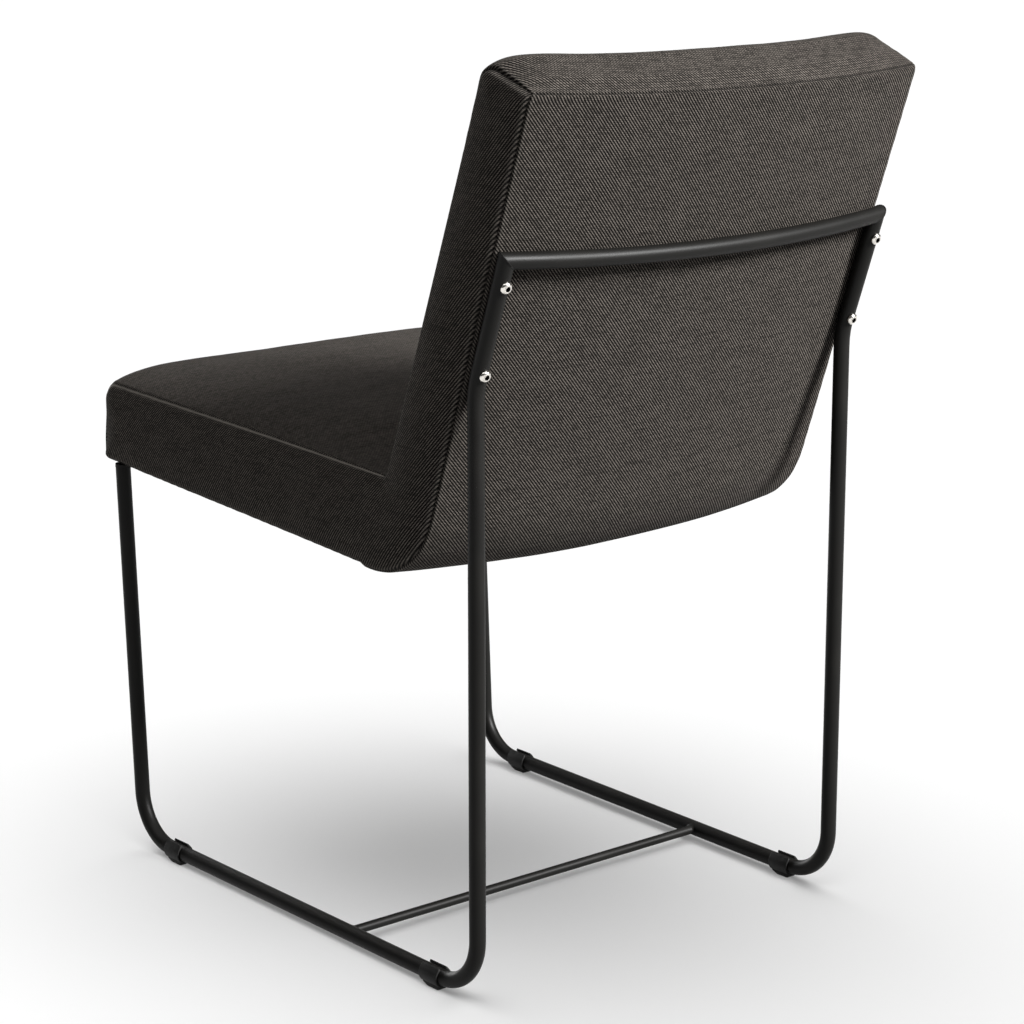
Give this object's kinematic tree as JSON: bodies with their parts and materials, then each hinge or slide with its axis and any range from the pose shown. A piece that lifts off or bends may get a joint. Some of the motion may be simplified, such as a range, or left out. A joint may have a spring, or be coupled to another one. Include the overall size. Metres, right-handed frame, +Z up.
{
  "type": "dining chair",
  "caption": "Dining chair with a one-piece padded fabric seat and back on a black sled frame of bent steel tube, with plastic floor glides.",
  "frame": {"origin": "on the floor, under the middle of the chair's width and of its greatest depth", "axes": "+Z up from the floor; the chair's front faces -Y; the sitter's left is +X"},
  "size_m": [0.4686, 0.6738, 0.832],
  "materials": {
    "powder_coated_steel": "black powder coat, satin, very fine orange peel",
    "nickel_plated_steel": "bright nickel plate",
    "zinc_plated_steel": "zinc plate",
    "black_plastic": "moulded, fine matt texture",
    "plywood": "moulded beech plywood, unlacquered",
    "foam": "cut polyurethane foam",
    "upholstery_fabric": "two-tone woven cloth, taupe grey on near black, matt",
    "black_lining": "spun-bonded lining, matt"
  },
  "bodies": {
    "root": {"left_side_frame": "powder_coated_steel", "right_side_frame": "powder_coated_steel", "top_back_rail": "powder_coated_steel", "floor_stretcher": "powder_coated_steel", "leg_plate_left": "powder_coated_steel", "leg_plate_right": "powder_coated_steel", "glide_front_left": "black_plastic", "glide_rear_left": "black_plastic", "glide_front_right": "black_plastic", "glide_rear_right": "black_plastic", "back_screw_lower_left": "nickel_plated_steel", "back_insert_lower_left": "zinc_plated_steel", "back_screw_upper_left": "nickel_plated_steel", "back_insert_upper_left": "zinc_plated_steel", "seat_screw_outer_left": "nickel_plated_steel", "seat_insert_outer_left": "zinc_plated_steel", "seat_screw_inner_left": "nickel_plated_steel", "seat_insert_inner_left": "zinc_plated_steel", "back_screw_lower_right": "nickel_plated_steel", "back_insert_lower_right": "zinc_plated_steel", "back_screw_upper_right": "nickel_plated_steel", "back_insert_upper_right": "zinc_plated_steel", "seat_screw_outer_right": "nickel_plated_steel", "seat_insert_outer_right": "zinc_plated_steel", "seat_screw_inner_right": "nickel_plated_steel", "seat_insert_inner_right": "zinc_plated_steel", "plywood_shell": "plywood", "seat_foam": "foam", "back_foam": "foam", "seat_and_back_cover": "upholstery_fabric", "outside_back_cover": "upholstery_fabric", "side_panel_left": "upholstery_fabric", "side_panel_right": "upholstery_fabric", "dust_cover": "black_lining"}
  },
  "joints": []
}
